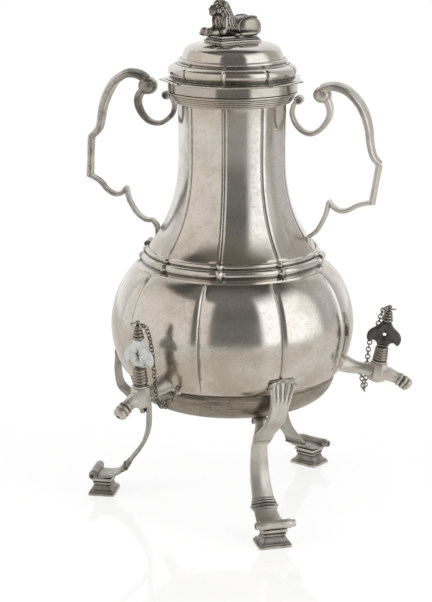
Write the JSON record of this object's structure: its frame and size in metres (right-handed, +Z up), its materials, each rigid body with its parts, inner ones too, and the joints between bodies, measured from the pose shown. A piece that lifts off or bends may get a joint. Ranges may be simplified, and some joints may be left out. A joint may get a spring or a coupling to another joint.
{
  "type": "lidded coffee urn",
  "caption": "Tall lidded coffee urn with lobed belly, flared neck, scroll handles, chained spigot taps, scroll legs on square feet and a recumbent lion on the lid.",
  "frame": {"origin": "centre of the overall footprint, on the surface the feet stand on", "axes": "+Z up, along the urn's axis; +X from the axis towards the right tap; -Y towards the viewer of the picture, between the front tap and the front leg"},
  "size_m": [0.2636, 0.2544, 0.3991],
  "materials": {
    "silver": "hammered and polished sheet, lightly tarnished",
    "cast_silver": "cast and chased, satin, darker in the hollows",
    "dark_silver": "tarnished, dull",
    "grip_metal": "dull dark grey"
  },
  "bodies": {
    "vessel": {"belly": "silver", "bottom_pan": "silver", "neck": "silver", "shoulder_moulding": "silver", "neck_collar": "silver", "handle_right": "cast_silver", "handle_left": "cast_silver", "leg_strap_front": "cast_silver", "leg_scroll_front": "cast_silver", "foot_front": "cast_silver", "leg_strap_left": "cast_silver", "leg_scroll_left": "cast_silver", "foot_left": "cast_silver", "leg_strap_rear": "cast_silver", "leg_scroll_rear": "cast_silver", "foot_rear": "cast_silver", "tap_body_right": "cast_silver", "chain_ring_right": "dark_silver", "chain_right": "dark_silver", "chain_eye_right": "dark_silver", "tap_body_front": "cast_silver", "chain_ring_front": "dark_silver", "chain_front": "dark_silver", "chain_eye_front": "dark_silver", "tap_body_back": "cast_silver", "chain_ring_back": "dark_silver", "chain_back": "dark_silver", "chain_eye_back": "dark_silver"},
    "lid": {"lid_bezel": "silver", "lid_dome": "silver", "finial_stud": "cast_silver", "finial_nut": "cast_silver", "lion_finial": "cast_silver"},
    "key_right": {"key_plug_right": "dark_silver", "key_grip_right": "grip_metal", "key_finial_right": "dark_silver"},
    "key_front": {"key_plug_front": "dark_silver", "key_grip_front": "grip_metal", "key_finial_front": "dark_silver"},
    "key_back": {"key_plug_back": "dark_silver", "key_grip_back": "grip_metal", "key_finial_back": "dark_silver"}
  },
  "joints": [
    {"name": "lid_lift", "type": "slide", "parent": "vessel", "child": "lid", "axis": [0, 0, 1], "range_m": [0, 0.1]},
    {"name": "key_right_turn", "type": "hinge", "parent": "vessel", "child": "key_right", "pos_m": [0.1029, 0.00012, 0.1145], "axis": [0.1564, 0, 0.9877], "range_deg": [0, 90]},
    {"name": "key_front_turn", "type": "hinge", "parent": "vessel", "child": "key_front", "pos_m": [-0.0711, -0.10034, 0.1145], "axis": [-0.0262, -0.0453, 0.9986], "range_deg": [-90, 0]},
    {"name": "key_back_turn", "type": "hinge", "parent": "vessel", "child": "key_back", "pos_m": [-0.0711, 0.10058, 0.1145], "axis": [-0.0523, 0.0905, 0.9945], "range_deg": [0, 90]}
  ]
}
